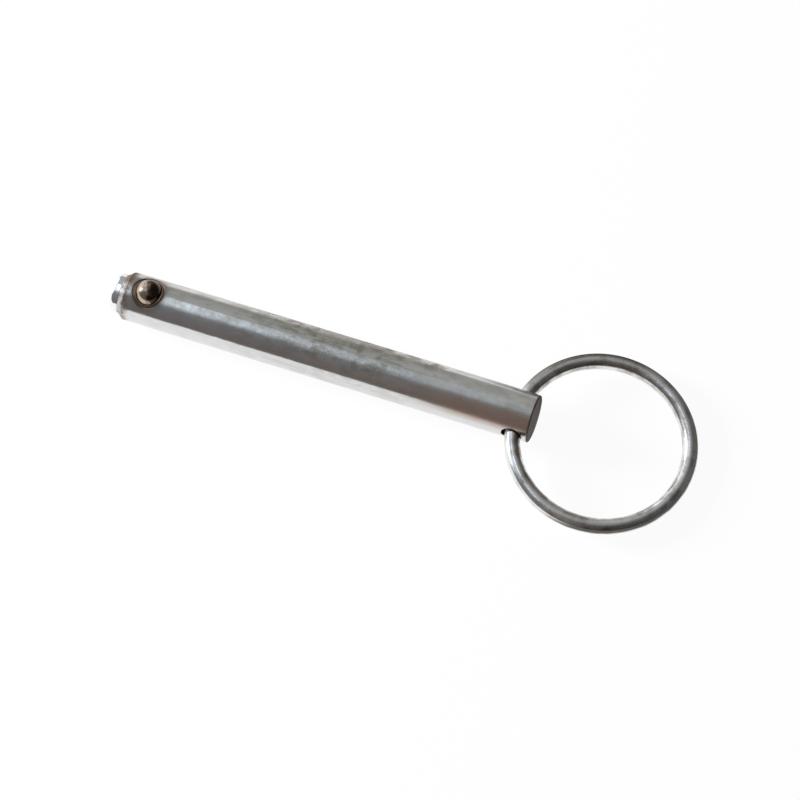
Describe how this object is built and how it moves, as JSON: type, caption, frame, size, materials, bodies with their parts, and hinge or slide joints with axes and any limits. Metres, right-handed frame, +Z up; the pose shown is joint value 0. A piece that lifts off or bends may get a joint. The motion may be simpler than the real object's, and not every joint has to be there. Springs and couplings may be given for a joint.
{
  "type": "quick release pin",
  "caption": "Solid steel detent pin: stepped nose, spring-loaded ball behind it, and a round wire pull ring through a cross hole at the other end.",
  "frame": {"origin": "on the shank's axis, half way along the plain grip between the ball and the cross hole", "axes": "+X along the shank to the ring end, +Y along the cross hole, +Z up through the ball"},
  "size_m": [0.1164, 0.0366, 0.0114],
  "materials": {
    "zinc_plated_steel": "zinc plated, scratched, with rust stains",
    "polished_ball": "polished bearing steel",
    "spring_wire": "drawn spring wire",
    "ring_wire": "plated drawn wire, slightly tarnished"
  },
  "bodies": {
    "pin": {"shank": "zinc_plated_steel", "detent_spring": "spring_wire"},
    "ball": {"detent_ball": "polished_ball"},
    "ring": {"pull_ring": "ring_wire"}
  },
  "joints": [
    {"name": "detent_press", "type": "slide", "parent": "pin", "child": "ball", "axis": [0, 0, -1], "range_m": [0, 0.00185], "stiffness_N_per_m": 2950, "deforming": ["detent_spring"]},
    {"name": "ring_swing", "type": "hinge", "parent": "pin", "child": "ring", "pos_m": [0.0366, 0, 0], "axis": [0, -1, 0], "range_deg": [-163, 174.2]}
  ]
}
